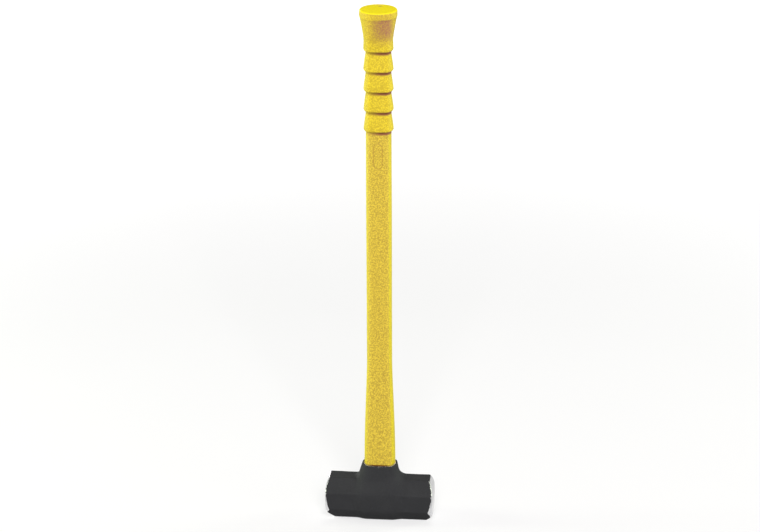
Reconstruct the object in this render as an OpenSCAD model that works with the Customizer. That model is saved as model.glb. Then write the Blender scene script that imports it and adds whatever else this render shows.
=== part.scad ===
// Two-faced sledgehammer, standing on its head.
// The head lies along X, the handle rises along +Z, and the flat land round the
// bottom of the eye is at z = 0.

/* [Head] */
// Length of the head between the crowns of its two striking faces
head_length = 188; // [150:1:230]
// Width of the octagonal bar between opposite flats
bar_flats = 73.4; // [68:0.2:76]
// Height of the bar's axis above the flat land at the bottom of the eye
axis_height = 38; // [37:0.5:39]
// Radius of the barrel swell round the eye
swell_radius = 42.4; // [41:0.1:43.5]
// Length of the swell's straight middle, along the head
swell_length = 46; // [40:1:54]
// Distance from the handle's axis to the flat cheek on each side of the eye
cheek_y = 39.5; // [38.5:0.1:41]
// Radius that rounds each striking face into the bar
edge_rounding = 10; // [8:0.5:12]
// Height of the crown ground on each striking face
crown_height = 0.9; // [0.5:0.1:2]

/* [Eye and collar] */
// Height of the collar's rim above the land
collar_top = 101; // [96:1:106]
// Width of the collar's rim along the head
collar_w = 60.5; // [59:0.5:62]
// Width of the collar's rim across the head
collar_d = 48; // [47:0.5:50]
// How much each side of the collar leans out, per unit of height
collar_lean = 0.22; // [0.15:0.01:0.3]
// Radius of the fillet between the collar and the bar
collar_fillet = 9; // [5:0.5:10]
// Depth of the seat in the collar's mouth
seat_depth = 9; // [6:0.5:12]
// Width of the seat along the head
seat_w = 55; // [54:0.5:56]
// Width of the seat across the head
seat_d = 43; // [42:0.5:44]
// Width of the eye along the head, at its narrow waist
eye_waist_w = 35; // [33:0.5:36]
// Width of the eye across the head, at its narrow waist
eye_waist_d = 25; // [24:0.5:25.5]
// How much wider than the waist the eye is at each of its ends
eye_flare = 3; // [1.5:0.5:3]

/* [Handle] */
// Overall height of the hammer
overall_height = 914; // [900:1:930]
// Width of the fibreglass core along the head
core_w = 30; // [28:0.5:31]
// Width of the fibreglass core across the head
core_d = 22; // [20:0.5:23]
// Width of the jacket along the head, above its flare
jacket_w = 43.4; // [41:0.2:45]
// Width of the jacket across the head, above its flare
jacket_d = 34; // [32:0.5:35]
// Height at which the jacket begins to flare out towards the head
flare_top = 290; // [240:5:340]
// Thickness of the elastomer seal between the jacket and the collar's seat
seal_wall = 0.9; // [0.5:0.1:1.5]
// Thickness of the seal's floor, under the end of the jacket
seal_floor = 1.6; // [1:0.1:3]

/* [Grip] */
// Number of skirts below the pommel
skirt_count = 4; // [3:1:5]
// Distance between the lips of neighbouring skirts
skirt_pitch = 34.8; // [33:0.1:36]
// Height of the lip at the lower end of the pommel
pommel_lip_z = 845; // [842:1:848]
// Width of each lip along the head
lip_w = 50.6; // [48:0.2:52]
// Width of each lip across the head
lip_d = 41.8; // [40:0.2:43]
// Height of the rounded underside of each lip
lip_underside = 3.5; // [3:0.5:4.5]
// Height from the bottom of each underside down to where the next skirt begins
neck_height = 4.5; // [3:0.5:5]
// Diameter of the pommel at its rim
pommel_d = 64.2; // [62:0.1:66]
// Height of the pommel's rim band
pommel_band = 11; // [8:0.5:13]
// Radius that rounds the rim band into the pommel's top
pommel_rounding = 2; // [1:0.5:3]
// Distance of the small moulding dimple behind the middle of the pommel's top
dimple_y = 16; // [0:1:20]
// Diameter of the moulding dimple
dimple_d = 8; // [5:1:12]
// Depth of the moulding dimple
dimple_depth = 0.8; // [0.4:0.1:1.5]

/* [Hidden] */
$fn = 96;

// Joints between pieces, from the bottom of the eye to the butt
eye_recess = 1.5;
core_foot_z = 3;
seat_z = collar_top - seat_depth;
jacket_foot_z = seat_z + seal_floor;
grip_foot_z = pommel_lip_z - skirt_count * skirt_pitch - lip_underside;
jacket_overlap = 12;
jacket_top_z = grip_foot_z + jacket_overlap;
butt_wall = 12;
core_top_z = overall_height - butt_wall;

// The pommel's straight stretch above its lip, and the step out to its rim band
pommel_waist = 15;
band_step = 0.8;

// Corner radius of the octagonal bar, and half its length
bar_corner = bar_flats / 2 / cos(22.5);
half_head = head_length / 2;

// How far the rounding of the ends starts outside the octagon's corners
corner_cut = 0.3;

// Points along an arc round (cx, cy), from angle a0 to angle a1
function arc(cx, cy, r, a0, a1, n = 6) =
    [for (i = [0:n]) let (a = a0 + (a1 - a0) * i / n) [cx + r * cos(a), cy + r * sin(a)]];

// The outline of one half, given from the axis outwards, closed by its mirror image
function both_sides(half) =
    concat(half, [for (i = [len(half) - 1:-1:0]) [-half[i][0], half[i][1]]]);

// A solid of flattened round section: turned from one outline of [radius, z] points,
// then cut by two flats that follow another outline of [half depth, z] points.
module flattened(round_outline, flat_outline) {
    intersection() {
        rotate_extrude() polygon(round_outline);
        rotate([90, 0, 90])
            linear_extrude(head_length, center = true)
                polygon(both_sides(flat_outline));
    }
}

// A flattened round solid with straight, vertical sides
module flattened_plug(w, d, z0, z1) {
    flattened(
        [[0, z0], [w / 2, z0], [w / 2, z1], [0, z1]],
        [[d / 2, z0], [d / 2, z1]]);
}

// ---- Head ----

// One end of the bar, turned round the head's axis: a rounded edge and a low crown
module ground_end() {
    edge_x = half_head - crown_height / 2 - edge_rounding;
    face_r = bar_corner + corner_cut - edge_rounding;
    crown_r = (face_r ^ 2 + crown_height ^ 2) / (2 * crown_height);
    intersection() {
        rotate_extrude() {
            square([face_r, half_head + 1]);
            square([face_r + edge_rounding + 1, edge_x]);
            translate([face_r, edge_x]) circle(edge_rounding);
        }
        translate([0, 0, half_head - crown_r]) sphere(crown_r, $fn = 360);
    }
}

// Octagonal bar along X with both ends ground
module bar() {
    intersection() {
        rotate([0, 90, 0])
            linear_extrude(head_length + 2, center = true)
                rotate(22.5) circle(r = bar_corner, $fn = 8);
        for (side = [-90, 90])
            rotate([0, side, 0]) ground_end();
    }
}

// Swell round the eye, straight in its middle and round at both ends, its cheeks ground flat
module swell() {
    reach = swell_length / 2;
    intersection() {
        union() {
            rotate([0, 90, 0]) cylinder(r = swell_radius, h = swell_length, center = true);
            for (x = [-reach, reach])
                translate([x, 0, 0]) sphere(swell_radius);
        }
        translate([-head_length / 2, -cheek_y, -axis_height])
            cube([head_length, 2 * cheek_y, 2 * axis_height + bar_flats]);
    }
}

// Leaning collar round the handle's end, filleted into the top of the bar
module collar() {
    bar_top = axis_height + bar_flats / 2;
    fillet_turn = 90 - atan(collar_lean);
    base_r = collar_w / 2 + collar_lean * (collar_top - bar_top);
    foot_r = base_r + collar_fillet * tan(fillet_turn / 2);
    foot_d = min(cheek_y, collar_d / 2 + collar_lean * (collar_top - axis_height));
    flattened(
        concat([[0, axis_height], [foot_r, axis_height]],
            arc(foot_r, bar_top + collar_fillet, collar_fillet, -90, -90 - fillet_turn),
            [[collar_w / 2, collar_top], [0, collar_top]]),
        [[foot_d, axis_height], [collar_d / 2, collar_top]]);
}

// The eye through the head: wide at both ends and narrow at its waist
module eye(z0, z1) {
    waist_z = seat_z / 2;
    wide_w = eye_waist_w / 2 + eye_flare / 2;
    wide_d = eye_waist_d / 2 + eye_flare / 2;
    intersection() {
        flattened(
            [[0, 0], [wide_w, 0], [eye_waist_w / 2, waist_z], [wide_w, seat_z], [0, seat_z]],
            [[wide_d, 0], [eye_waist_d / 2, waist_z], [wide_d, seat_z]]);
        translate([0, 0, z0]) cylinder(r = eye_waist_w, h = z1 - z0);
    }
}

module head() {
    color([0.2, 0.2, 0.21])
        difference() {
            union() {
                translate([0, 0, axis_height]) {
                    bar();
                    swell();
                }
                collar();
            }
            eye(0, seat_z);
            flattened_plug(seat_w, seat_d, seat_z, collar_top + 1);
        }
}

// ---- Handle ----

// Straight bar with round edges, as the pultrusion die leaves it
module core_bar(z0, z1) {
    side = (core_w - core_d) / 2;
    translate([0, 0, z0]) {
        translate([-side, -core_d / 2, 0]) cube([2 * side, core_d, z1 - z0]);
        for (x = [-side, side])
            translate([x, 0, 0]) cylinder(d = core_d, h = z1 - z0);
    }
}

module core_rod() {
    color([0.86, 0.84, 0.66]) core_bar(core_foot_z, core_top_z);
}

module eye_epoxy() {
    color([0.72, 0.62, 0.42])
        difference() {
            eye(eye_recess, seat_z);
            core_bar(core_foot_z, seat_z + 1);
        }
}

module mouth_seal() {
    color([0.93, 0.86, 0.62])
        difference() {
            flattened_plug(seat_w, seat_d, seat_z, collar_top);
            flattened_plug(seat_w - 2 * seal_wall, seat_d - 2 * seal_wall, jacket_foot_z, collar_top + 1);
            core_bar(seat_z - 1, collar_top + 1);
        }
}

// Points of the jacket's flare, from the mouth of the collar up to its plain width
function flare_points(wide, plain) =
    [for (i = [0:12])
        let (z = collar_top + (flare_top - collar_top) * i / 12)
        [plain + (wide - plain) * sin(90 * (1 - i / 12)) ^ 1.4, z]];

module handle_jacket() {
    end_w = seat_w / 2 - seal_wall;
    end_d = seat_d / 2 - seal_wall;
    color([0.86, 0.75, 0.28])
        difference() {
            flattened(
                concat([[0, jacket_foot_z], [end_w, jacket_foot_z]],
                    flare_points(end_w, jacket_w / 2),
                    [[jacket_w / 2, jacket_top_z], [0, jacket_top_z]]),
                concat([[end_d, jacket_foot_z]],
                    flare_points(end_d, jacket_d / 2),
                    [[jacket_d / 2, jacket_top_z]]));
            core_bar(jacket_foot_z - 1, jacket_top_z + 1);
        }
}

// ---- Grip ----

// The rounded underside of a lip, from the neck out to the lip's edge
function lip_points(neck, lip, lip_z) =
    [for (a = [90:-30:0]) [neck + (lip - neck) * cos(a), lip_z - lip_underside * sin(a)]];

// Outline of the skirts, from the foot of the grip up to the neck below the pommel
function skirt_points(neck, lip) =
    [for (i = [skirt_count:-1:1])
        let (lip_z = pommel_lip_z - i * skirt_pitch)
        each concat(
            lip_points(neck, lip, lip_z),
            [[neck, lip_z + skirt_pitch - lip_underside - neck_height]])];

// Outline of the pommel, from its lower lip up to the edge of its top
function pommel_points(neck, lip, rim) =
    let (
        waist_z = pommel_lip_z + pommel_waist,
        band_z = overall_height - pommel_rounding - pommel_band,
        flare_r = rim - band_step - lip)
    concat(
        lip_points(neck, lip, pommel_lip_z),
        [for (t = [0:1/6:1]) [lip + flare_r * t ^ 1.3, waist_z + (band_z - waist_z) * t]],
        [[rim, band_z + 2 * band_step]],
        arc(rim - pommel_rounding, overall_height - pommel_rounding, pommel_rounding, 0, 90));

module grip_sleeve() {
    // The flats run out before the rim, so that the pommel's band is fully round
    rim = pommel_d / 2;
    flats_rim = rim + 1;
    color([0.95, 0.84, 0.16])
        difference() {
            flattened(
                concat([[0, grip_foot_z]],
                    skirt_points(jacket_w / 2, lip_w / 2),
                    pommel_points(jacket_w / 2, lip_w / 2, rim),
                    [[0, overall_height]]),
                concat(
                    skirt_points(jacket_d / 2, lip_d / 2),
                    pommel_points(jacket_d / 2, lip_d / 2, flats_rim)));
            core_bar(grip_foot_z - 1, core_top_z);
            flattened_plug(jacket_w, jacket_d, grip_foot_z - 1, jacket_top_z);
            translate([0, dimple_y, overall_height - dimple_depth]) cylinder(d = dimple_d, h = 2);
        }
}

head();
core_rod();
handle_jacket();
eye_epoxy();
mouth_seal();
grip_sleeve();
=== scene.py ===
"""Looks of the sledgehammer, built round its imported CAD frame.

The head, jacket, grip and seal are detailed meshes that take the place of their CAD nodes. The
core rod and the epoxy keep their CAD shape and get a material.
Shapes are worked out in millimetres and turned into metres when a mesh is made.
"""
import math

import bpy
import numpy as np
from mathutils import Matrix, Vector


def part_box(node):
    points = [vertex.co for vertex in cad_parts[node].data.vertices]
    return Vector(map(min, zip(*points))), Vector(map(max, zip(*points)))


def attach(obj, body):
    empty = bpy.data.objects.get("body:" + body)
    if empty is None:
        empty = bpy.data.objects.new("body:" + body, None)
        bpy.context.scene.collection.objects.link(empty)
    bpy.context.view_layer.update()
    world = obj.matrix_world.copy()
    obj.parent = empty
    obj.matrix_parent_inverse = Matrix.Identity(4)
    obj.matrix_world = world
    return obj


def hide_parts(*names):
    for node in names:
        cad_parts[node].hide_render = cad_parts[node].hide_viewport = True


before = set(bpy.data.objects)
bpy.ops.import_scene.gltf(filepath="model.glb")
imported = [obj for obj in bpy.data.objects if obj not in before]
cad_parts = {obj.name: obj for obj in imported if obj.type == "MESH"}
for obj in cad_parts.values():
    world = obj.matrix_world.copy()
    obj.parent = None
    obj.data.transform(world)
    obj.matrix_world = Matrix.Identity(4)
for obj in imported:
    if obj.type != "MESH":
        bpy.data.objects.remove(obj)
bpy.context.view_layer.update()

MM = 0.001


def box_mm(node):
    """Lowest and highest corner of a CAD node, in millimetres."""
    low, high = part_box(node)
    return np.array(low) / MM, np.array(high) / MM


head_high = box_mm("head")[1]
jacket_low, jacket_high = box_mm("handle_jacket")
grip_low, grip_high = box_mm("grip_sleeve")
seal_low, seal_high = box_mm("mouth_seal")
core_high = box_mm("core_rod")[1]

# ---------------------------------------------------------------- camera

CAMERA_DISTANCE = 5.95      # metres from the handle's axis, measured along the floor
CAMERA_HEIGHT = 2.564       # metres above the floor
CAMERA_AZIMUTH = math.radians(5.0)          # how far round to the right it stands
CAMERA_AIM = math.radians(4.987)            # how far to the left of +Y it looks
CAMERA_PITCH = math.radians(19.469)         # how far down it looks
CAMERA_ROLL = math.radians(0.22)            # how far it is turned clockwise
CAMERA_LENS = 175.82        # focal length in millimetres


def make_camera():
    """Long lens that looks down on the hammer, from a few degrees to the right of its front."""
    data = bpy.data.cameras.new("camera")
    data.lens = CAMERA_LENS
    data.clip_end = 100.0
    camera = bpy.data.objects.new("camera", data)
    bpy.context.scene.collection.objects.link(camera)
    level = math.cos(CAMERA_PITCH)
    forward = Vector((-math.sin(CAMERA_AIM) * level, math.cos(CAMERA_AIM) * level, -math.sin(CAMERA_PITCH)))
    right = Vector((math.cos(CAMERA_AIM), math.sin(CAMERA_AIM), 0.0))
    up = right.cross(forward)
    turned_right = right * math.cos(CAMERA_ROLL) - up * math.sin(CAMERA_ROLL)
    turned_up = right * math.sin(CAMERA_ROLL) + up * math.cos(CAMERA_ROLL)
    turn = Matrix((turned_right, turned_up, -forward)).transposed()
    place = Vector((
        CAMERA_DISTANCE * math.sin(CAMERA_AZIMUTH),
        -CAMERA_DISTANCE * math.cos(CAMERA_AZIMUTH),
        CAMERA_HEIGHT,
    ))
    camera.matrix_world = Matrix.Translation(place) @ turn.to_4x4()
    bpy.context.scene.camera = camera


# ---------------------------------------------------------------- shapes from formulas


def smooth_min(a, b, blend):
    """The lower of a and b, with their corner rounded over a width of blend."""
    overlap = np.maximum(blend - np.abs(a - b), 0.0) / blend
    return np.minimum(a, b) - overlap * overlap * blend / 4


def smooth_max(a, b, blend):
    """The higher of a and b, with their corner rounded over a width of blend."""
    return -smooth_min(-a, -b, blend)


def smooth_step(value, start, end):
    """0 before start, 1 after end, with an S-curve between."""
    t = np.clip((value - start) / (end - start), 0.0, 1.0)
    return t * t * (3 - 2 * t)


def sine_size(angle):
    """Size of an angle's sine, kept off zero so that it can be divided by."""
    return np.maximum(np.abs(np.sin(angle)), 1e-4)


def flat_round(angle, half_w, half_d, blend):
    """Radius at an angle of a round section with a flat in front and one behind."""
    return smooth_min(half_w, half_d / sine_size(angle), blend)


# ---------------------------------------------------------------- meshes


def new_piece(name, points, faces, material, node):
    """A smooth-shaded mesh from points in millimetres, which takes the place of a CAD node."""
    mesh = bpy.data.meshes.new(name)
    mesh.from_pydata((np.asarray(points) * MM).tolist(), [], faces)
    mesh.validate()
    mesh.shade_smooth()
    mesh.materials.append(material)
    piece = bpy.data.objects.new(name, mesh)
    bpy.context.scene.collection.objects.link(piece)
    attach(piece, "root")
    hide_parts(node)
    return piece


def loft(sections, centre_start, centre_end):
    """Points and faces of a solid through closed sections, each an array of points.

    Where a centre is given the end is closed by a fan to it; where both are None the
    last section joins the first, which makes a tube with a bore."""
    count, size = len(sections), len(sections[0])
    points = [tuple(p) for section in sections for p in section]
    faces = []
    closed = centre_start is None
    for row in range(count if closed else count - 1):
        here, there = row * size, (row + 1) % count * size
        for i in range(size):
            j = (i + 1) % size
            faces.append((here + i, here + j, there + j, there + i))
    if not closed:
        points += [tuple(centre_start), tuple(centre_end)]
        top = (count - 1) * size
        for i in range(size):
            j = (i + 1) % size
            faces.append((j, i, count * size))
            faces.append((top + i, top + j, count * size + 1))
    return points, faces


def cells_touching(edge_values, axis, shape):
    """For each grid cell, the sum of a quantity over its four edges that run along axis."""
    total = 0
    first, second = [a for a in range(3) if a != axis]
    for i in (0, 1):
        for j in (0, 1):
            window = [slice(None)] * 3
            window[first] = slice(i, i + shape[first] - 1)
            window[second] = slice(j, j + shape[second] - 1)
            total = total + edge_values[tuple(window)]
    return total


def net_faces(crossed, inside, number):
    """Quads round the grid edges that cross the skin, one per edge, all facing outwards.

    number gives the index of the point in each grid cell."""
    faces = []
    for axis, (first, second) in enumerate([(1, 2), (2, 0), (0, 1)]):
        where = np.argwhere(crossed[axis])
        fits = (where[:, first] > 0) & (where[:, second] > 0)
        fits &= (where[:, first] < inside.shape[first] - 1) & (where[:, second] < inside.shape[second] - 1)
        where = where[fits]
        corners = []
        for i, j in ((1, 1), (0, 1), (0, 0), (1, 0)):
            cell = where.copy()
            cell[:, first] -= i
            cell[:, second] -= j
            corners.append(number[tuple(cell.T)])
        quads = np.stack(corners, axis=1)
        outward = inside[tuple(where.T)]
        quads[~outward] = quads[~outward][:, ::-1]
        faces += quads.tolist()
    return faces


def surface_net(solid, planes):
    """Points and quads on the skin of a solid, which is negative inside.

    planes holds the grid's X, Y and Z planes; they lie closer where the shape is fine."""
    grid = np.stack(np.meshgrid(*planes, indexing="ij"), axis=-1)
    value = solid(grid[..., 0], grid[..., 1], grid[..., 2])
    inside = value < 0
    shape = value.shape
    place_sum = np.zeros([n - 1 for n in shape] + [3])
    crossings = np.zeros([n - 1 for n in shape])
    crossed = []
    for axis in range(3):
        low = [slice(None)] * 3
        high = [slice(None)] * 3
        low[axis] = slice(0, -1)
        high[axis] = slice(1, None)
        low, high = tuple(low), tuple(high)
        crosses = inside[low] != inside[high]
        gap = np.where(crosses, value[low] - value[high], 1.0)
        share = np.where(crosses, value[low] / gap, 0.0)[..., None]
        place = (grid[low] * (1 - share) + grid[high] * share) * crosses[..., None]
        crossings += cells_touching(crosses.astype(float), axis, shape)
        place_sum += cells_touching(place, axis, shape)
        crossed.append(crosses)
    used = crossings > 0
    number = np.full(used.shape, -1)
    number[used] = np.arange(used.sum())
    points = place_sum[used] / crossings[used][:, None]
    return points, net_faces(crossed, inside, number)


def settle(points, solid):
    """Moves points along the slope of solid until they lie on its skin."""
    step = 0.02                 # half the distance over which the slope is taken
    least_steepness = 0.05      # keeps the moves finite where the slope vanishes
    longest_move = 0.6
    for _ in range(4):
        value = solid(*points.T)
        slope = np.zeros_like(points)
        for axis in range(3):
            shift = np.zeros(3)
            shift[axis] = step
            slope[:, axis] = (solid(*(points + shift).T) - solid(*(points - shift).T)) / (2 * step)
        steepness = np.maximum((slope ** 2).sum(axis=1), least_steepness)
        move = np.clip(value / steepness, -longest_move, longest_move)
        points = points - move[:, None] * slope
    return points


# ---------------------------------------------------------------- head

HALF_LENGTH = head_high[0]
RIM_Z = head_high[2]
AXIS_Z = 38.0               # height of the bar's axis
HALF_FLATS = 36.8           # half the octagon's width across flats
BAR_ROUNDING = 0.9          # rounding of the octagon's long corners
BAR_TILT = 0.011            # how much the bar drops to the right, per unit of its length
SWELL_R = 42.0              # radius of the swell round the eye
SWELL_FLAT = 20.0           # half the length of the swell's straight middle
SWELL_END = 54.0            # where the swell stops sinking; by then it lies inside the bar
SWELL_SINK = 8.0            # how much its radius has shrunk there
SWELL_CURVE = 1.2
SWELL_BLEND = 2.5           # softness of the edge between the swell and the bar
CHEEK_Y = head_high[1]
CHEEK_ROUNDING = 3.0
BASE_ROUNDING = 1.0
COLLAR_HALF_W = 30.2
COLLAR_HALF_D = 24.0
COLLAR_LEAN = 0.20          # how much wider the collar gets, per side, per unit of height down
LEFT_LEAN = 0.12            # how much more it leans on its left side
COLLAR_BLEND = 12.0         # softness of the edge between the collar's flats and its round sides
LEAN_SCALE = 0.95           # turns a level distance from the collar into one square to its side
RIM_ROUNDING = 0.7
FILLET = 9.0                # fillet between the collar and the bar, in the middle
FILLET_CHANGE = 4.0         # how much wider it is on the right, and narrower on the left
FILLET_SPAN = 12.0
SEAT_HALF_W = seal_high[0]
SEAT_HALF_D = seal_high[1]
SEAT_Z = seal_low[2]
SEAT_BLEND = 11.0
SEAT_BEVEL = 0.5
SEAT_BEVEL_HEIGHT = 0.8
EYE_HALF_W = 17.5           # half sizes of the eye at its waist
EYE_HALF_D = 12.5
EYE_FLARE = 1.5             # how much wider the eye is at each end, per side
EYE_BLEND = 4.0
EYE_BEVEL = 1.5             # bevel round the eye's lower end
EYE_BEVEL_HEIGHT = 2.0
EYE_ROUNDING = 0.5          # rounding of every edge that the eye and its seat cut
LONG_WAVE = 0.16            # heights of the forging's slow and quick unevenness
SHORT_WAVE = 0.05
CHAMFER_SLOPE = 1.33        # how fast the chamfer runs back as the radius grows
CHAMFER_SUM = 139.0         # distance along the head plus slope times radius, on the chamfer
CORNER_LEFT = 5.0           # how much less of the front's upper long corner is ground away
CORNER_ANGLE = math.radians(157.5)          # where that corner lies, round the head's axis
CORNER_SPAN = 0.26          # angle over which it fades
WORN_SUM = 115.0            # distance to the left plus distance down, on the worn lower left edge
TOP_SLOPE = 0.35            # how fast the worn top edges run back as the height grows
TOP_SUM = 100.3             # distance along the head plus that slope times the height over its axis
RIGHT_SUM = 119.5           # distance to the right plus distance down, on the worn lower right edge
CROWN = 0.9                 # height of the crown on a striking face
FACE_R = 30.0               # radius of a striking face
FACE_ROUNDING = 3.0         # rounding between a striking face and its chamfer
TOP_EDGE_ROUNDING = 2.0
WORN_ROUNDING = 4.0         # rounding of the worn lower edges
GRIND_ROUNDING = 1.2        # rounding between the ground ends and the painted sides


def bar_solid(x, y, u):
    """Octagonal bar with rounded corners and a long swell in the middle."""
    slant = (np.abs(y) + np.abs(u)) / math.sqrt(2)
    octagon = smooth_max(smooth_max(np.abs(y), np.abs(u), BAR_ROUNDING), slant, BAR_ROUNDING)
    sink = SWELL_SINK * smooth_step(np.abs(x), SWELL_FLAT, SWELL_END) ** SWELL_CURVE
    swell = np.hypot(y, u) - (SWELL_R - sink)
    return smooth_min(octagon - HALF_FLATS, swell, SWELL_BLEND)


def collar_solid(x, y, z):
    """Leaning collar of flattened round section, flat on top. It goes down to the bar's axis."""
    drop = RIM_Z - z
    left_share = smooth_step(-x, 0.0, COLLAR_HALF_W)
    half_w = COLLAR_HALF_W + (COLLAR_LEAN + LEFT_LEAN * left_share) * drop
    outline = flat_round(np.arctan2(y, x), half_w, COLLAR_HALF_D + COLLAR_LEAN * drop, COLLAR_BLEND)
    side = (np.hypot(x, y) - outline) * LEAN_SCALE
    return smooth_max(smooth_max(side, z - RIM_Z, RIM_ROUNDING), AXIS_Z - z, BASE_ROUNDING)


def eye_solid(x, y, z):
    """The hourglass eye and the seat in the collar's mouth."""
    angle = np.arctan2(y, x)
    radius = np.hypot(x, y)
    waist_z = SEAT_Z / 2
    flare = EYE_FLARE * np.abs(z - waist_z) / waist_z
    bevel = EYE_BEVEL * smooth_step(z, EYE_BEVEL_HEIGHT, 0.0)
    eye = radius - flat_round(angle, EYE_HALF_W + flare + bevel, EYE_HALF_D + flare + bevel, EYE_BLEND)
    lip_bevel = SEAT_BEVEL * smooth_step(z, RIM_Z - SEAT_BEVEL_HEIGHT, RIM_Z)
    seat = radius - flat_round(angle, SEAT_HALF_W + lip_bevel, SEAT_HALF_D + lip_bevel, SEAT_BLEND)
    return np.minimum(eye, np.maximum(seat, SEAT_Z - z))


def forging_waves(x, y, u):
    """Unevenness that a forging keeps under its paint. Uneven wavelengths keep it from repeating."""
    long_wave = np.sin(x / 17.0 + 1.3) * np.sin(y / 13.0 + 0.4) * np.sin(u / 15.0 + 2.1)
    short_wave = np.sin(x / 6.1 + 0.7) * np.sin((y + u) / 5.3 + 1.9)
    return LONG_WAVE * long_wave + SHORT_WAVE * short_wave


def ground_ends(x, y, u):
    """The ends: a chamfer and a low crown on each, and worn edges at the top and at the bottom."""
    radius = np.hypot(y, u)
    left = CORNER_LEFT * np.exp(-((np.arctan2(u, y) - CORNER_ANGLE) / CORNER_SPAN) ** 2)
    chamfer = (np.abs(x) + CHAMFER_SLOPE * radius - CHAMFER_SUM - left) / math.hypot(1, CHAMFER_SLOPE)
    crown = np.abs(x) - (HALF_LENGTH - CROWN * (radius / FACE_R) ** 2)
    top_edge = (np.abs(x) + TOP_SLOPE * u - TOP_SUM) / math.hypot(1, TOP_SLOPE)
    left_edge = (-x - u - WORN_SUM) / math.sqrt(2)
    right_edge = (x - u - RIGHT_SUM) / math.sqrt(2)
    ends = smooth_max(chamfer, crown, FACE_ROUNDING)
    ends = smooth_max(ends, top_edge, TOP_EDGE_ROUNDING)
    ends = smooth_max(ends, left_edge, WORN_ROUNDING)
    return smooth_max(ends, right_edge, WORN_ROUNDING)


def head_solid(x, y, z):
    """The whole head: bar, collar and eye, with its ground ends."""
    u = z - AXIS_Z + BAR_TILT * x
    fillet = FILLET + FILLET_CHANGE * np.tanh(x / FILLET_SPAN)
    body = smooth_min(bar_solid(x, y, u), collar_solid(x, y, z), fillet)
    body = smooth_max(body, np.abs(y) - CHEEK_Y, CHEEK_ROUNDING)
    body = body + forging_waves(x, y, u)
    body = smooth_max(body, ground_ends(x, y, u), GRIND_ROUNDING)
    body = smooth_max(body, -z, BASE_ROUNDING)
    return smooth_max(body, -eye_solid(x, y, z), EYE_ROUNDING)


def spaced(stops):
    """Grid planes from a list of (start, spacing), which ends with (end, None)."""
    planes = []
    for (start, step), (end, _) in zip(stops, stops[1:]):
        count = max(1, round((end - start) / step))
        planes += [start + (end - start) * i / count for i in range(count)]
    return np.array(planes + [stops[-1][0]])


def mirrored(planes):
    """Grid planes on both sides of zero."""
    return np.concatenate([-planes[::-1], planes[1:]])


def make_head(material):
    """Head, meshed finely where it has edges: at its ends, its base and the collar's rim."""
    along = mirrored(spaced([(0, 1.3), (48, 1.8), (82, 0.8), (HALF_LENGTH + 1, None)]))
    across = mirrored(spaced([(0, 1.3), (CHEEK_Y + 3, None)]))
    up = spaced([(-1, 0.7), (2, 1.4), (88, 0.7), (RIM_Z + 1, None)])
    points, faces = surface_net(head_solid, (along, across, up))
    return new_piece("hammer_head", settle(points, head_solid), faces, material, "head")


# ---------------------------------------------------------------- handle

FRONT_SPAN = 28             # half the angle, in degrees, over which the front is meshed finely
FRONT_STEP = 1.0            # degrees
OTHER_STEPS = 120           # number of points on the rest of a section
front_angles = np.arange(-FRONT_SPAN, FRONT_SPAN, FRONT_STEP)
other_angles = np.linspace(FRONT_SPAN, 360 - FRONT_SPAN, OTHER_STEPS, endpoint=False)
turn = np.radians(np.concatenate([front_angles, other_angles]) - 90)
HANDLE_HALF_W = 21.6
HANDLE_HALF_D = 17.0
BELLY_Z = 550.0             # middle of the handle's slight belly
BELLY_SPAN = 85.0
BELLY = 0.2                 # how much wider the handle is there, per side
HANDLE_BLEND = 3.5          # softness of the edge between the flats and the round sides
FLARE_TOP = 290.0
FLARE_CURVE = 1.4
FOOT_FADE = 60.0            # height over which the jacket's section turns into the seat's rounder one
FOOT_GAP = 0.8              # how far the jacket's foot stays off the seat's wall
SHOULDER_DROP = 0.6         # how far under the rim the rounded shoulder of the foot starts
SHOULDER_HEIGHT = 3.0
SHOULDER_PULL = 1.5         # how far the shoulder curls inwards at its lower edge
PLUG_BEVEL = 0.3
PLUG_BEVEL_HEIGHT = 0.6
SEAL_WALL = 2.7             # thickness of the seal round the jacket's plug
SEAL_FLOOR = 1.6            # thickness of the seal under it
SEAL_SINK = 0.9             # how far under the rim the seal's top lies
CORE_HALF_W = core_high[0]
CORE_HALF_D = core_high[1]
PARTING_LINE = 0.12         # height of the moulding seam down each side
PARTING_SINE = 0.03         # sine of the angle over which it fades


def ring(radius, z):
    """A section of the given radius at every angle, at height z."""
    return np.stack([radius * np.cos(turn), radius * np.sin(turn), np.full(turn.shape, float(z))], axis=1)


def core_ring(z):
    """Section of the core rod: straight in front and behind, half round at the sides."""
    side = CORE_HALF_W - CORE_HALF_D
    flat = CORE_HALF_D / sine_size(turn)
    chord = np.sqrt(np.maximum(CORE_HALF_D ** 2 - (side * np.sin(turn)) ** 2, 0.0))
    edge = side * np.abs(np.cos(turn)) + chord
    on_flat = np.abs(flat * np.cos(turn)) <= side
    return ring(np.where(on_flat, flat, edge), z)


def handle_section(half_w, half_d, z, blend):
    """Section of a moulding, with its parting line down each side."""
    seam = PARTING_LINE * np.exp(-(np.sin(turn) / PARTING_SINE) ** 2)
    return ring(flat_round(turn, half_w, half_d, blend) + seam, z)


def flare_size(z, wide, plain):
    """Half size of the jacket at a height: it widens towards the head and has a slight belly."""
    share = np.clip((FLARE_TOP - z) / (FLARE_TOP - RIM_Z), 0.0, 1.0)
    belly = BELLY * math.exp(-((z - BELLY_Z) / BELLY_SPAN) ** 2)
    return plain + belly + (wide - plain) * np.sin(share * math.pi / 2) ** FLARE_CURVE


PANEL_Z = 661.0             # middle of the plain engraved outline on the front
PANEL_HALF_W = 7.0
PANEL_HALF_H = 22.0
GROOVE_DEPTH = 0.5
GROOVE_HALF_W = 0.65
PLAIN_STEP = 8.0            # distance between sections on the plain handle, and at the outline
PANEL_STEP = 0.4


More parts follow.
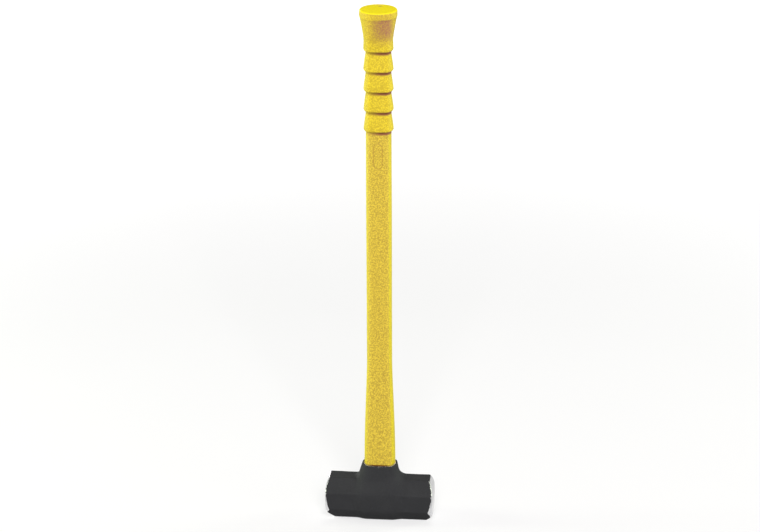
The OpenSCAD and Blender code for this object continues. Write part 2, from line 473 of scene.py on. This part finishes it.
def press_outline(section):
    """Engraves a plain outline with round ends into the front of the jacket."""
    x, y, z = section.T
    straight = PANEL_HALF_H - PANEL_HALF_W
    away = np.hypot(x, np.maximum(np.abs(z - PANEL_Z) - straight, 0.0)) - PANEL_HALF_W
    groove = GROOVE_DEPTH * np.exp(-(away / GROOVE_HALF_W) ** 2)
    section[:, 1] = np.where(y < 0, y + groove, y)
    return section


def jacket_foot(wide, deep, foot_z):
    """Sections of the plug inside the seal, and of the rounded shoulder that stands on it."""
    plug_w, plug_d = SEAT_HALF_W - SEAL_WALL, SEAT_HALF_D - SEAL_WALL
    start_z = RIM_Z - SHOULDER_DROP
    sections = [
        handle_section(plug_w - PLUG_BEVEL, plug_d - PLUG_BEVEL, foot_z, SEAT_BLEND),
        handle_section(plug_w, plug_d, foot_z + PLUG_BEVEL_HEIGHT, SEAT_BLEND),
        handle_section(plug_w, plug_d, start_z - 0.2, SEAT_BLEND),
    ]
    for lift in np.linspace(0.1, 0.95, 7):
        pull = SHOULDER_PULL * (1 - math.sqrt(1 - (1 - lift) ** 2))
        z = start_z + SHOULDER_HEIGHT * lift
        sections.append(handle_section(wide - pull, deep - pull, z, SEAT_BLEND))
    return sections


def jacket_heights(top_z):
    """Heights of the sections above the shoulder, close together at the engraved outline."""
    panel_low, panel_high = PANEL_Z - PANEL_HALF_H, PANEL_Z + PANEL_HALF_H
    return np.concatenate([
        np.linspace(RIM_Z - SHOULDER_DROP + SHOULDER_HEIGHT, FLARE_TOP, 48),
        np.arange(FLARE_TOP + PLAIN_STEP, panel_low - 4, PLAIN_STEP),
        np.arange(panel_low - 3, panel_high + 3, PANEL_STEP),
        np.array([grip_low[2] - 6, grip_low[2] - 1, grip_low[2] + 1, top_z]),
    ])


def make_jacket(material):
    """Jacket with its core bore, a plug in the collar's seat and a rounded shoulder."""
    foot_z, top_z = jacket_low[2], jacket_high[2]
    wide, deep = SEAT_HALF_W - FOOT_GAP, SEAT_HALF_D - FOOT_GAP
    sections = jacket_foot(wide, deep, foot_z)
    for z in jacket_heights(top_z):
        blend = HANDLE_BLEND + (SEAT_BLEND - HANDLE_BLEND) * smooth_step(z, RIM_Z + FOOT_FADE, RIM_Z)
        half_w = flare_size(z, wide, HANDLE_HALF_W)
        half_d = flare_size(z, deep, HANDLE_HALF_D)
        sections.append(press_outline(handle_section(half_w, half_d, z, blend)))
    bore = [core_ring(z) for z in (top_z, foot_z)]
    points, faces = loft(sections + bore, None, None)
    return new_piece("handle_jacket_shell", points, faces, material, "handle_jacket")


SKIRT_COUNT = 4
SKIRT_PITCH = 34.8
POMMEL_LIP_Z = 845.0
LIP_HALF_W = 25.3
LIP_HALF_D = 20.9
GRIP_BLEND = 4.5            # softness of the edge between the grip's flats and its round sides
SKIN = 0.15                 # thickness of the grip over the jacket at a neck
NECK_TOP = 8.0              # how far under the next lip a skirt has narrowed to its neck
SKIRT_BULGE = 0.035         # how much a skirt's side bulges, as a share of its spread

# Up the underside of a lip and round it: share of the way out from neck to lip, height over the lip
LIP_CURVE = [(0.0, -3.7), (0.24, -3.4), (0.5, -2.7), (0.74, -1.8)]
LIP_CURVE += [(0.89, -0.9), (0.97, -0.2), (1.0, 0.4), (0.995, 1.4)]
LIP_FOOT = LIP_CURVE[0][1]
LIP_TOP = LIP_CURVE[-1][1]

POMMEL_R = grip_high[0]
TOP_Z = grip_high[2]
WAIST_Z = POMMEL_LIP_Z + 15.0               # top of the pommel's nearly straight stretch
WAIST_R = LIP_HALF_W - 0.6
POMMEL_CURVE = 1.3
BAND_Z = TOP_Z - 14.0       # lower edge of the pommel's rim band
BAND_PROUD = 0.9            # how far the band stands proud of the flare under it
BAND_TOP = TOP_Z - 4.4      # upper end of the band's straight side
ROUND_MARGIN = 2.5          # how far outside the band's round section its flats have moved
TOP_ROUNDING = 3.0          # rounding of the band into the pommel's top
TOP_DOME = 0.8
GATE_X, GATE_Y, GATE_R = 2.0, 16.5, 4.6     # moulding dimple in the pommel's top
GATE_DEPTH = 0.8

# Round the band's lower edge: how far inside the rim, height over that edge
BAND_CURVE = [(0.55, 0.5), (0.2, 1.6), (0.0, 3.2)]


def lip_profile(lip_z):
    """(share of the way out from neck to lip, height) up the underside and round a lip."""
    return [(share, lip_z + rise) for share, rise in LIP_CURVE]


def skirt_profile():
    """(share out from neck to lip, height) from the foot of the grip to the pommel's lip."""
    profile = []
    for i in range(SKIRT_COUNT, 0, -1):
        lip_z = POMMEL_LIP_Z - i * SKIRT_PITCH
        start_z = lip_z + LIP_TOP
        neck_z = lip_z + SKIRT_PITCH - NECK_TOP
        profile += lip_profile(lip_z)
        for t in np.linspace(0.12, 1.0, 9):
            profile.append((1 - t + SKIRT_BULGE * math.sin(t * math.pi), start_z + (neck_z - start_z) * t))
    return profile + lip_profile(POMMEL_LIP_Z)


def pommel_profile():
    """(radius, height, share of full roundness) from above the pommel's lip to its top."""
    rows = []
    flare_r = POMMEL_R - BAND_PROUD
    for t in np.linspace(0.0, 1.0, 16):
        rows.append((WAIST_R + (flare_r - WAIST_R) * t ** POMMEL_CURVE, WAIST_Z + (BAND_Z - WAIST_Z) * t, t))
    rows += [(POMMEL_R - inset, BAND_Z + rise, 1.0) for inset, rise in BAND_CURVE]
    rows.append((POMMEL_R, BAND_TOP, 1.0))
    for a in np.radians(np.linspace(6, 84, 8)):
        rows.append((
            POMMEL_R - TOP_ROUNDING + TOP_ROUNDING * math.cos(a),
            TOP_Z - TOP_DOME - TOP_ROUNDING + TOP_ROUNDING * math.sin(a),
            1.0,
        ))
    return rows


def press_gate(section):
    """Domes the pommel's top a little and sinks the moulding dimple into it."""
    x, y, z = section.T
    radius = np.hypot(x, y)
    dome = TOP_DOME * (1 - np.clip(radius / (POMMEL_R - TOP_ROUNDING), 0, 1) ** 2)
    dimple = GATE_DEPTH * smooth_step(np.hypot(x - GATE_X, y - GATE_Y), GATE_R, GATE_R * 0.5)
    section[:, 2] = z + dome - dimple
    return section


def make_grip(material):
    """Skirted grip and pommel in one moulding, bored for the jacket and the core."""
    foot_z = POMMEL_LIP_Z - SKIRT_COUNT * SKIRT_PITCH + LIP_FOOT
    fit_z = jacket_high[2]
    top_core_z = core_high[2]
    bore = [core_ring(top_core_z), core_ring(fit_z)]
    bore += [ring(flat_round(turn, HANDLE_HALF_W, HANDLE_HALF_D, HANDLE_BLEND), z) for z in (fit_z, foot_z)]
    outside = []
    for share, z in skirt_profile():
        half_w = HANDLE_HALF_W + SKIN + (LIP_HALF_W - HANDLE_HALF_W - SKIN) * share
        half_d = HANDLE_HALF_D + SKIN + (LIP_HALF_D - HANDLE_HALF_D - SKIN) * share
        outside.append(handle_section(half_w, half_d, z, GRIP_BLEND))
    for radius, z, roundness in pommel_profile():
        widening = (LIP_HALF_W - LIP_HALF_D + ROUND_MARGIN) * roundness
        outside.append(handle_section(radius, LIP_HALF_D + (radius - LIP_HALF_W) + widening, z, GRIP_BLEND))
    inner_radius = POMMEL_R - TOP_ROUNDING - 0.1
    for share in np.linspace(1.0, 0.04, 30):
        outside.append(press_gate(ring(np.full(turn.shape, inner_radius * share), TOP_Z - TOP_DOME)))
    points, faces = loft(bore + outside, (0, 0, top_core_z), (0, 0, TOP_Z))
    return new_piece("skirted_grip", points, faces, material, "grip_sleeve")


def make_seal(material):
    """Soft dam between the jacket's plug and the collar's seat, slightly hollow on top."""
    top_z = RIM_Z - SEAL_SINK
    floor_z = SEAT_Z + SEAL_FLOOR
    outline = [(0.0, SEAT_Z), (0.0, top_z), (0.4, top_z + 0.3), (1.0, top_z + 0.3), (1.6, top_z - 0.1)]
    outline += [(SEAL_WALL - 0.1, top_z - 0.9), (SEAL_WALL, floor_z)]
    sections = []
    for pull, z in outline:
        sections.append(ring(flat_round(turn, SEAT_HALF_W - pull, SEAT_HALF_D - pull, SEAT_BLEND), z))
    sections += [core_ring(floor_z), core_ring(SEAT_Z)]
    points, faces = loft(sections, None, None)
    return new_piece("mouth_seal_ring", points, faces, material, "mouth_seal")


# ---------------------------------------------------------------- materials


class Nodes:
    """Short way to add and link shader nodes."""

    def __init__(self, name):
        self.material = bpy.data.materials.new(name)
        self.material.use_nodes = True
        self.tree = self.material.node_tree
        self.shader = self.tree.nodes["Principled BSDF"]
        self.place = self.add("ShaderNodeTexCoord").outputs["Object"]

    def add(self, kind, inputs=None, **settings):
        """A new node with its settings, and its inputs by name or number."""
        node = self.tree.nodes.new(kind)
        for key, value in settings.items():
            setattr(node, key, value)
        for key, value in (inputs or {}).items():
            self.feed(node.inputs[key], value)
        return node

    def feed(self, socket, value):
        """Links a socket into another one, or sets a plain value on it."""
        if isinstance(value, bpy.types.NodeSocket):
            self.tree.links.new(value, socket)
        else:
            socket.default_value = value

    def noise(self, scale, detail, roughness=0.55, vector=None):
        """Noise in object space, or over another vector."""
        node = self.add("ShaderNodeTexNoise", {"Scale": scale, "Detail": detail, "Roughness": roughness})
        self.feed(node.inputs["Vector"], vector or self.place)
        return node.outputs["Fac"]

    def math(self, operation, a, b=0.0, c=0.0):
        """Result of a math node."""
        node = self.add("ShaderNodeMath", {0: a, 1: b, 2: c}, operation=operation)
        return node.outputs[0]

    def spread(self, value, low, high, to_low=0.0, to_high=1.0):
        """An S-curve that turns low..high into to_low..to_high."""
        limits = {"From Min": low, "From Max": high, "To Min": to_low, "To Max": to_high}
        node = self.add("ShaderNodeMapRange", {"Value": value, **limits}, interpolation_type="SMOOTHSTEP")
        return node.outputs["Result"]

    def mix(self, factor, a, b):
        """Colour a where factor is 0, and b where it is 1."""
        # A mix node repeats its sockets for each kind of data: colours are inputs 6 and 7, output 2.
        node = self.add("ShaderNodeMix", {0: factor, 6: a, 7: b}, data_type="RGBA")
        return node.outputs[2]

    def mix_normal(self, factor, a, b):
        """Normal a where factor is 0, and b where it is 1."""
        # Vectors are inputs 4 and 5, output 1.
        node = self.add("ShaderNodeMix", {0: factor, 4: a, 5: b}, data_type="VECTOR")
        return node.outputs[1]

    def bump(self, height, strength, distance, normal=None):
        """Normal bent by a height, at most by a distance in metres."""
        node = self.add("ShaderNodeBump", {"Height": height, "Strength": strength, "Distance": distance})
        if normal is not None:
            self.feed(node.inputs["Normal"], normal)
        return node.outputs["Normal"]

    def set(self, **values):
        """Feeds the shader's sockets, whose names have spaces where these have underscores."""
        for key, value in values.items():
            self.feed(self.shader.inputs[key.replace("_", " ")], value)


JACKET_BRIGHT = (0.74, 0.565, 0.058, 1)
JACKET_DEEP = (0.45, 0.31, 0.042, 1)
GRIP_BRIGHT = (0.73, 0.575, 0.029, 1)
GRIP_DEEP = (0.52, 0.38, 0.023, 1)
# painted shade under each lip
UNDERCUT_PAINTED_SHADE = (0.26, 0.10, 0.045, 1)
# painted shade on the pommel's flare and in its dimple
POMMEL_PAINTED_SHADE = (0.36, 0.16, 0.09, 1)
# painted shade: the dark line where the jacket's foot meets the seal
FOOT_PAINTED_SHADE = (0.12, 0.015, 0.008, 1)
# painted shade in the engraved outline's groove
GROOVE_PAINTED_SHADE = (0.38, 0.22, 0.04, 1)
# painted light: the lemon yellow of the lit round sides, and its deeper mottle
SIDE_PAINTED_LIGHT = (0.73, 0.615, 0.013, 1)
SIDE_PAINTED_LIGHT_DEEP = (0.58, 0.465, 0.011, 1)
# painted light: the brighter lemon yellow of the pommel's lit top, and its deeper mottle
TOP_PAINTED_LIGHT = (0.86, 0.75, 0.008, 1)
TOP_PAINTED_LIGHT_DEEP = (0.80, 0.66, 0.010, 1)
JACKET_ROUGHNESS = 0.5
GRIP_ROUGHNESS = 0.58
FADING = 0.86               # brightness of faded yellow against fresh
PAINT_DEEP = (0.0225, 0.0235, 0.0255, 1)
PAINT_BRIGHT = (0.032, 0.0335, 0.0358, 1)
PAINT_FADED = (0.037, 0.0385, 0.041, 1)
STEEL_DEEP = (0.66, 0.66, 0.67, 1)
STEEL_BRIGHT = (0.88, 0.88, 0.89, 1)
# darker steel, for random tarnish and for painted shade on the upper half of the ground ends
STEEL_TARNISH_AND_SHADE = (0.34, 0.34, 0.35, 1)
SEAL_PALE = (0.80, 0.70, 0.46, 1)
SEAL_SOILED = (0.42, 0.33, 0.2, 1)
RESIN_DEEP = (0.42, 0.27, 0.09, 1)
RESIN_PALE = (0.62, 0.47, 0.22, 1)
GLASS_DEEP = (0.60, 0.55, 0.33, 1)
GLASS_PALE = (0.80, 0.77, 0.58, 1)
FLOOR_DEEP = (0.30, 0.30, 0.302, 1)
FLOOR_PALE = (0.31, 0.31, 0.31, 1)
GLOW_COLOUR = (0.99, 0.99, 1.0, 1)
MATTE = 0.15                # specular level of the paint and the mouldings
CHAMFER_LAP = 1.1           # how far bare steel reaches past a chamfer, a worn edge and a face
WORN_LAP = 1.2
FACE_LAP = 2.6
RAGGED = 1.2                # how far the paint's border strays to either side


def painted_shade_below_lip(n, x, drop):
    """Painted shade under a lip, from the distance below it: most of it on the right, where the lip's shadow
    is deepest.
    """
    below = n.spread(drop, 0.6 * MM, 2.0 * MM)
    above = n.spread(drop, 5.5 * MM, 9.0 * MM, 1.0, 0.0)
    return n.math("MULTIPLY", n.math("MULTIPLY", below, above), n.spread(x, -24.0 * MM, 8.0 * MM, 0.1, 1.0))


def painted_light_on_sides(n, place, mottle, colour, strength):
    """Painted light: the round sides get a brighter, more lemon yellow than the grained flats, as where side
    light falls on them.
    """
    x, y, _ = place
    slant = n.math("DIVIDE", n.math("ABSOLUTE", y), n.math("MAXIMUM", n.math("ABSOLUTE", x), 0.001))
    side = n.mix(n.spread(mottle, 0.38, 0.62), SIDE_PAINTED_LIGHT_DEEP, SIDE_PAINTED_LIGHT)
    return n.mix(n.spread(slant, 0.55, 0.85, strength, 0.0), colour, side)


def painted_shade_in_outline(n, place):
    """Painted shade in the groove of the plain engraved outline."""
    x, y, z = place
    climb = n.math("ABSOLUTE", n.math("SUBTRACT", z, PANEL_Z * MM))
    past = n.math("MAXIMUM", n.math("SUBTRACT", climb, (PANEL_HALF_H - PANEL_HALF_W) * MM), 0.0)
    reach = n.math("SQRT", n.math("MULTIPLY_ADD", x, x, n.math("MULTIPLY", past, past)))
    away = n.math("ABSOLUTE", n.math("SUBTRACT", reach, PANEL_HALF_W * MM))
    groove = n.spread(away, GROOVE_HALF_W * 0.6 * MM, GROOVE_HALF_W * 1.6 * MM, 0.6, 0.0)
    return n.math("MULTIPLY", groove, n.math("LESS_THAN", y, 0.0))


def jacket_light_and_shade(n, place, mottle, colour):
    """Painted light on the jacket's sides, and painted shade where it stands on the seal, in its outline and
    under the grip's lowest lip.
    """
    x, y, z = place
    # Painted shade in front and behind, where the jacket's foot curls in over the seal.
    low = n.spread(z, (RIM_Z + 0.6) * MM, (RIM_Z + 2.6) * MM, 1.0, 0.0)
    middle = n.spread(n.math("ABSOLUTE", x), 11.0 * MM, 19.0 * MM, 1.0, 0.0)
    # painted light on the round sides
    colour = painted_light_on_sides(n, place, mottle, colour, 0.9)
    colour = n.mix(n.math("MULTIPLY", low, middle), colour, FOOT_PAINTED_SHADE)
    # painted shade in the engraved outline
    colour = n.mix(painted_shade_in_outline(n, place), colour, GROOVE_PAINTED_SHADE)
    drop = n.math("SUBTRACT", (POMMEL_LIP_Z - SKIRT_COUNT * SKIRT_PITCH) * MM, z)
    # painted shade under the grip's lowest lip
    return n.mix(painted_shade_below_lip(n, x, drop), colour, UNDERCUT_PAINTED_SHADE)


def painted_shade_on_flare(n, x, z, mottle):
    """Painted shade on the pommel's downward-facing flare, more to the right: less on the band and at the
    sides.
    """
    flare = n.spread(z, (WAIST_Z - 12.0) * MM, (WAIST_Z + 22.0) * MM)
    band = n.spread(z, (BAND_Z + 0.5) * MM, (BAND_Z + 2.5) * MM, 1.0, 0.3)
    right_edge = n.spread(x, 20.0 * MM, 28.0 * MM, 1.0, 0.3)
    to_right = n.math("MULTIPLY", n.spread(x, -28.0 * MM, 14.0 * MM), right_edge)
    flare_shade = n.math("MULTIPLY", n.math("MULTIPLY", flare, band), to_right)
    return n.math("MULTIPLY", flare_shade, n.spread(mottle, 0.38, 0.64, 1.0, 0.6))


def pommel_top_painted_light(n, x, y, mottle):
    """Painted light on the pommel's top, a brighter lemon yellow, with painted shade in its dimple."""
    top = n.mix(n.spread(mottle, 0.36, 0.62), TOP_PAINTED_LIGHT_DEEP, TOP_PAINTED_LIGHT)
    gate_x = n.math("SUBTRACT", x, GATE_X * MM)
    gate_y = n.math("SUBTRACT", y, GATE_Y * MM)
    away = n.math("SQRT", n.math("MULTIPLY_ADD", gate_x, gate_x, n.math("MULTIPLY", gate_y, gate_y)))
    return n.mix(n.spread(away, GATE_R * 0.5 * MM, GATE_R * MM, 0.6, 0.0), top, POMMEL_PAINTED_SHADE)


def grip_light_and_shade(n, place, mottle, colour):
    """Painted shade on the pommel's flare and under each lip, and painted light on the sides and on the
    pommel's top.
    """
    x, y, z = place
    # painted light on the round sides
    colour = painted_light_on_sides(n, place, mottle, colour, 0.5)
    # painted shade on the pommel's flare
    colour = n.mix(painted_shade_on_flare(n, x, z, mottle), colour, POMMEL_PAINTED_SHADE)
    drop = n.math("FLOORED_MODULO", n.math("SUBTRACT", POMMEL_LIP_Z * MM, z), SKIRT_PITCH * MM)
    # painted shade under each of the grip's lips
    under = n.math("MULTIPLY", painted_shade_below_lip(n, x, drop), n.math("LESS_THAN", z, POMMEL_LIP_Z * MM))
    colour = n.mix(under, colour, UNDERCUT_PAINTED_SHADE)
    # painted light on the pommel's top
    return n.mix(n.spread(z, (TOP_Z - 3.0) * MM, (TOP_Z - 1.5) * MM), colour, pommel_top_painted_light(n, x, y, mottle))


def yellow_moulding(name, bright, deep, roughness, paint_light_and_shade):
    """Matte moulded yellow: fine spark-eroded grain, a soft mottle of colour, and painted light and shade
    from the given function.
    """
    n = Nodes(name)
    axes = n.add("ShaderNodeSeparateXYZ", {0: n.place})
    mottle = n.noise(420.0, 4.0, 0.62)
    drift = n.noise(38.0, 2.0)
    base = n.mix(n.spread(mottle, 0.40, 0.62), deep, bright)
    faded_bright = (*[channel * FADING for channel in bright[:3]], 1.0)
    faded = n.mix(n.spread(drift, 0.35, 0.75, 0.0, 0.16), base, faded_bright)
    grain = n.noise(1500.0, 2.0, 0.5)
    coarse = n.bump(mottle, 0.35, 0.0004)
    n.set(
        Base_Color=paint_light_and_shade(n, axes.outputs, mottle, faded),
        Roughness=n.spread(grain, 0.2, 0.8, roughness - 0.06, roughness + 0.08),
        Normal=n.bump(grain, 0.3, 0.00015, coarse),
    )
    n.shader.inputs["Specular IOR Level"].default_value = MATTE
    return n.material


def ground_area(n, x, y, u, radius):
    """1 where the ends are ground bare and 0 on the paint, with a ragged border between."""
    along = n.math("ABSOLUTE", x)
    turned = n.math("DIVIDE", n.math("SUBTRACT", n.math("ARCTAN2", u, y), CORNER_ANGLE), CORNER_SPAN)
    near_corner = n.math("EXPONENT", n.math("MULTIPLY", n.math("MULTIPLY", turned, turned), -1.0))
    chamfer = n.math("MULTIPLY_ADD", radius, CHAMFER_SLOPE, along)
    chamfer = n.math("MULTIPLY_ADD", near_corner, -CORNER_LEFT * MM, chamfer)
    over = n.math("SUBTRACT", chamfer, (CHAMFER_SUM - CHAMFER_LAP) * MM)
    left_down = n.math("SUBTRACT", n.math("MULTIPLY", x, -1.0), u)
    right_down = n.math("SUBTRACT", x, u)
    along_and_up = n.math("MULTIPLY_ADD", u, TOP_SLOPE, along)
    for reach, limit in (
            (left_down, WORN_SUM - WORN_LAP),
            (along_and_up, TOP_SUM - WORN_LAP),
            (right_down, RIGHT_SUM - WORN_LAP),
            (along, HALF_LENGTH - FACE_LAP)):
        over = n.math("MAXIMUM", over, n.math("SUBTRACT", reach, limit * MM))
    ragged = n.math("MULTIPLY_ADD", n.noise(210.0, 3.0, 0.6), 2 * RAGGED * MM, -RAGGED * MM)
    return n.spread(n.math("ADD", over, ragged), -0.15 * MM, 0.15 * MM)


def charcoal_paint(n):
    """Colour and bump of the matte powder coat."""
    grain = n.noise(900.0, 3.0, 0.6)
    drift = n.noise(30.0, 3.0)
    paint = n.mix(n.spread(grain, 0.3, 0.7), PAINT_DEEP, PAINT_BRIGHT)
    paint = n.mix(n.spread(drift, 0.4, 0.8, 0.0, 0.3), paint, PAINT_FADED)
    return paint, n.bump(grain, 0.28, 0.00025)


def ground_steel(n, u, radius):
    """Colour and bump of turned steel, with patches of tarnish, and painted shade that darkens its upper
    half.
    """
    across = n.add("ShaderNodeCombineXYZ", {0: n.math("MULTIPLY", radius, 90.0), 1: 0.0, 2: 0.0})
    rings = n.noise(26.0, 4.0, 0.7, across.outputs[0])
    steel = n.mix(rings, STEEL_DEEP, STEEL_BRIGHT)
    # random tarnish, plus painted shade that darkens the upper half
    tarnish_and_shade = n.math("MULTIPLY_ADD", n.noise(120.0, 2.0), 0.5, n.spread(u, -8.0 * MM, 6.0 * MM, 0.0, 0.4))
    return n.mix(tarnish_and_shade, steel, STEEL_TARNISH_AND_SHADE), n.bump(rings, 0.12, 0.0002)


def head_material():
    """Charcoal paint, worn off at the ground ends and in chips along the collar's rim."""
    n = Nodes("charcoal_paint_and_ground_steel")
    axes = n.add("ShaderNodeSeparateXYZ", {0: n.place})
    x, y, z = axes.outputs
    u = n.math("MULTIPLY_ADD", x, BAR_TILT, n.math("SUBTRACT", z, AXIS_Z * MM))
    radius = n.math("SQRT", n.math("ADD", n.math("MULTIPLY", y, y), n.math("MULTIPLY", u, u)))
    near_rim = n.spread(z, (RIM_Z - 1.0) * MM, (RIM_Z - 0.2) * MM)
    chips = n.spread(n.noise(330.0, 2.0, 0.6), 0.60, 0.64)
    bare = n.math("MAXIMUM", ground_area(n, x, y, u, radius), n.math("MULTIPLY", near_rim, chips))
    paint, paint_bump = charcoal_paint(n)
    steel, steel_bump = ground_steel(n, u, radius)
    n.set(
        Base_Color=n.mix(bare, paint, steel),
        Metallic=bare,
        Roughness=n.spread(bare, 0.0, 1.0, 0.8, 0.3),
        Normal=n.mix_normal(bare, paint_bump, steel_bump),
    )
    n.shader.inputs["Specular IOR Level"].default_value = MATTE
    return n.material


def seal_material():
    """Pale soft elastomer, a little dirty."""
    n = Nodes("pale_elastomer")
    dirt = n.noise(260.0, 4.0, 0.65)
    n.set(
        Base_Color=n.mix(n.spread(dirt, 0.45, 0.7), SEAL_PALE, SEAL_SOILED),
        Roughness=n.spread(dirt, 0.3, 0.7, 0.5, 0.8),
        Normal=n.bump(dirt, 0.3, 0.0003),
    )
    return n.material


def resin_material():
    """Amber cast resin with a few trapped bubbles."""
    n = Nodes("amber_resin")
    cloud = n.noise(90.0, 4.0, 0.6)
    bubbles = n.add("ShaderNodeTexVoronoi", {"Scale": 420.0, "Vector": n.place})
    pits = n.spread(bubbles.outputs["Distance"], 0.0, 0.25, 1.0, 0.0)
    n.set(
        Base_Color=n.mix(cloud, RESIN_DEEP, RESIN_PALE),
        Roughness=n.spread(cloud, 0.3, 0.7, 0.22, 0.4),
        Normal=n.bump(pits, -0.5, 0.0004),
    )
    return n.material


def fibreglass_material():
    """Pultruded rod: fine glass strands along its length in pale resin."""
    n = Nodes("pultruded_fibreglass")
    stretch = n.add("ShaderNodeMapping", {"Vector": n.place, "Scale": (900.0, 900.0, 14.0)})
    strands = n.noise(1.0, 4.0, 0.65, stretch.outputs["Vector"])
    n.set(
        Base_Color=n.mix(strands, GLASS_DEEP, GLASS_PALE),
        Roughness=n.spread(strands, 0.3, 0.7, 0.3, 0.5),
        Normal=n.bump(strands, 0.35, 0.0002),
    )
    return n.material


def unless_diffuse(tree):
    """1, but 0 for rays that gather light for a matte surface, so that the glow lights none of them."""
    path = tree.nodes.new("ShaderNodeLightPath")
    flip = tree.nodes.new("ShaderNodeMath")
    flip.operation = "SUBTRACT"
    flip.inputs[0].default_value = 1.0
    tree.links.new(path.outputs["Is Diffuse Ray"], flip.inputs[1])
    return flip.outputs[0]


def floor_material():
    """Plain pale floor. It glows, more with distance from the hammer, so that its shadows stay light."""
    n = Nodes("pale_floor")
    tone = n.noise(3.0, 2.0)
    away = n.add("ShaderNodeVectorMath", {0: n.place}, operation="LENGTH").outputs["Value"]
    glow = n.spread(away, 1.0, FLOOR_FAR, FLOOR_GLOW, FAR_GLOW)
    n.set(
        Base_Color=n.mix(tone, FLOOR_DEEP, FLOOR_PALE),
        Roughness=n.spread(tone, 0.3, 0.7, 0.78, 0.84),
        Emission_Color=GLOW_COLOUR,
        Emission_Strength=n.math("MULTIPLY", unless_diffuse(n.tree), glow),
    )
    n.shader.inputs["Specular IOR Level"].default_value = 0.0
    return n.material


def dress(node, material):
    """Puts a material on a CAD node that keeps its own shape."""
    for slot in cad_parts[node].material_slots:
        slot.material = material


# ---------------------------------------------------------------- stage and light


FLOOR_GLOW = 0.63           # glow of the floor near the hammer, and from FLOOR_FAR metres on
FAR_GLOW = 1.05
FLOOR_FAR = 3.5
FLOOR_HALF = 20.0
SKY_LIGHT = 0.02            # strength of the sky for light and reflections
LIGHT_AIM = (0, 0, 0.45)    # what every lamp points at, half way up the hammer

# Name, azimuth in degrees (0 is in front, 90 to the right), elevation, distance, size, watts, colour
LIGHTS = [
    ("key_light", 8, 33, 8.0, (3.2, 3.2), 735, (1.0, 0.96, 0.96)),
    ("top_light", 150, 78, 3.0, (1.2, 1.2), 26, (1.0, 1.0, 1.0)),
    ("back_fill", -150, 6, 6.0, (2.4, 2.4), 130, (1.0, 0.97, 0.97)),
    ("right_fill", 60, 12, 6.0, (2.0, 2.0), 45, (1.0, 1.0, 0.94)),
    ("left_light", -92, 3, 2.8, (0.9, 1.8), 88, (0.93, 1.0, 0.82)),
    ("right_back_light", 112, 3, 2.8, (0.8, 1.8), 52, (0.95, 1.0, 0.85)),
]


def make_floor(material):
    """Square floor under the hammer."""
    half = FLOOR_HALF
    mesh = bpy.data.meshes.new("studio_floor")
    corners = [(-half, -half, 0), (half, -half, 0), (half, half, 0), (-half, half, 0)]
    mesh.from_pydata(corners, [], [(0, 1, 2, 3)])
    mesh.materials.append(material)
    floor = bpy.data.objects.new("studio_floor", mesh)
    bpy.context.scene.collection.objects.link(floor)


def softbox(name, place, size, power, colour):
    """Rectangular area light at a place, turned towards LIGHT_AIM. Metres and watts."""
    data = bpy.data.lights.new(name, "AREA")
    data.shape = "RECTANGLE"
    data.size, data.size_y = size
    data.energy = power
    data.color = colour
    lamp = bpy.data.objects.new(name, data)
    lamp.location = place
    lamp.rotation_mode = "QUATERNION"
    lamp.rotation_quaternion = (Vector(LIGHT_AIM) - Vector(place)).to_track_quat("-Z", "Y")
    bpy.context.scene.collection.objects.link(lamp)


def make_world():
    """White where the camera sees it, and dim as a light, so that the lamps do the lighting."""
    world = bpy.data.worlds.new("studio")
    world.use_nodes = True
    tree = world.node_tree
    sky = tree.nodes["Background"]
    sky.inputs["Color"].default_value = (1.0, 1.0, 1.0, 1.0)
    path = tree.nodes.new("ShaderNodeLightPath")
    choose = tree.nodes.new("ShaderNodeMix")
    tree.links.new(path.outputs["Is Camera Ray"], choose.inputs[0])
    choose.inputs[2].default_value = SKY_LIGHT
    choose.inputs[3].default_value = 1.0
    tree.links.new(choose.outputs[0], sky.inputs["Strength"])
    bpy.context.scene.world = world


def light_studio():
    """The sky and the lamps, with colours shown plainly, without a film look."""
    make_world()
    for name, azimuth, elevation, distance, size, power, colour in LIGHTS:
        turn_to, rise = math.radians(azimuth), math.radians(elevation)
        place = (
            distance * math.sin(turn_to) * math.cos(rise),
            -distance * math.cos(turn_to) * math.cos(rise),
            LIGHT_AIM[2] + distance * math.sin(rise),
        )
        softbox(name, place, size, power, colour)
    bpy.context.scene.view_settings.view_transform = "Standard"


# ---------------------------------------------------------------- assembly

make_camera()
make_head(head_material())
make_jacket(yellow_moulding("jacket_yellow", JACKET_BRIGHT, JACKET_DEEP, JACKET_ROUGHNESS, jacket_light_and_shade))
make_grip(yellow_moulding("grip_yellow", GRIP_BRIGHT, GRIP_DEEP, GRIP_ROUGHNESS, grip_light_and_shade))
make_seal(seal_material())
dress("eye_epoxy", resin_material())
dress("core_rod", fibreglass_material())
make_floor(floor_material())
light_studio()
